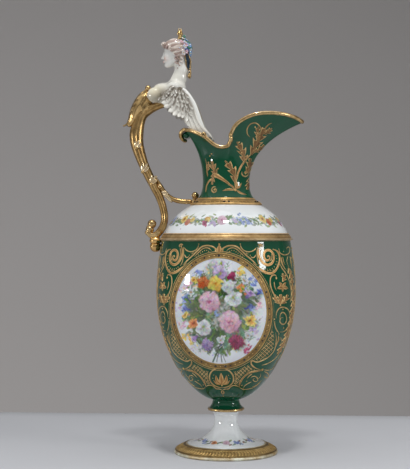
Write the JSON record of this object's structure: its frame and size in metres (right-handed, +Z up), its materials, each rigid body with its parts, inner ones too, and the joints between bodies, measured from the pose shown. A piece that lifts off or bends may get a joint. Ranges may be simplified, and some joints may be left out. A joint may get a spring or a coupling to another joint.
{
  "type": "porcelain jug",
  "caption": "Footed porcelain ewer with green ground, painted oval reserve, swept pouring lip and a gilt scroll handle that ends in a winged female bust.",
  "frame": {"origin": "centre of the standing ring, on the plane that the jug rests on", "axes": "+Z up the axis of the jug, +X towards the spout, so the handle is on the -X side"},
  "size_m": [0.1978, 0.1522, 0.4681],
  "materials": {
    "white_porcelain": "clear glaze over hard-paste porcelain",
    "green_porcelain": "deep green enamel ground under clear glaze",
    "tinted_porcelain": "pale brown enamel over glazed curls",
    "blue_enamel": "glossy blue enamel",
    "gilding": "burnished and matt gold fired on porcelain",
    "brass_fixing": "plain turned brass",
    "leather_seal": "oiled leather",
    "cork": "thin cork sheet"
  },
  "bodies": {
    "root": {"base_ring": "gilding", "foot": "white_porcelain", "foot_gasket": "cork", "body": "green_porcelain", "shoulder_band": "gilding", "shoulder": "white_porcelain", "neck_collar": "gilding", "neck": "green_porcelain", "lip_scrolls": "gilding", "handle_stem": "gilding", "handle_volute": "gilding", "volute_drop": "gilding", "handle_branch": "gilding", "branch_bud": "gilding", "handle_leaf": "gilding", "handle_husks": "gilding", "torso": "white_porcelain", "head": "white_porcelain", "hair": "tinted_porcelain", "hair_ribbon": "blue_enamel", "hair_flowers": "blue_enamel", "crest": "gilding", "wing_left": "white_porcelain", "wing_right": "white_porcelain", "tie_bolt": "brass_fixing", "seal_washer": "leather_seal", "head_washer": "brass_fixing", "foot_washer": "brass_fixing", "foot_nut": "brass_fixing"}
  },
  "joints": []
}
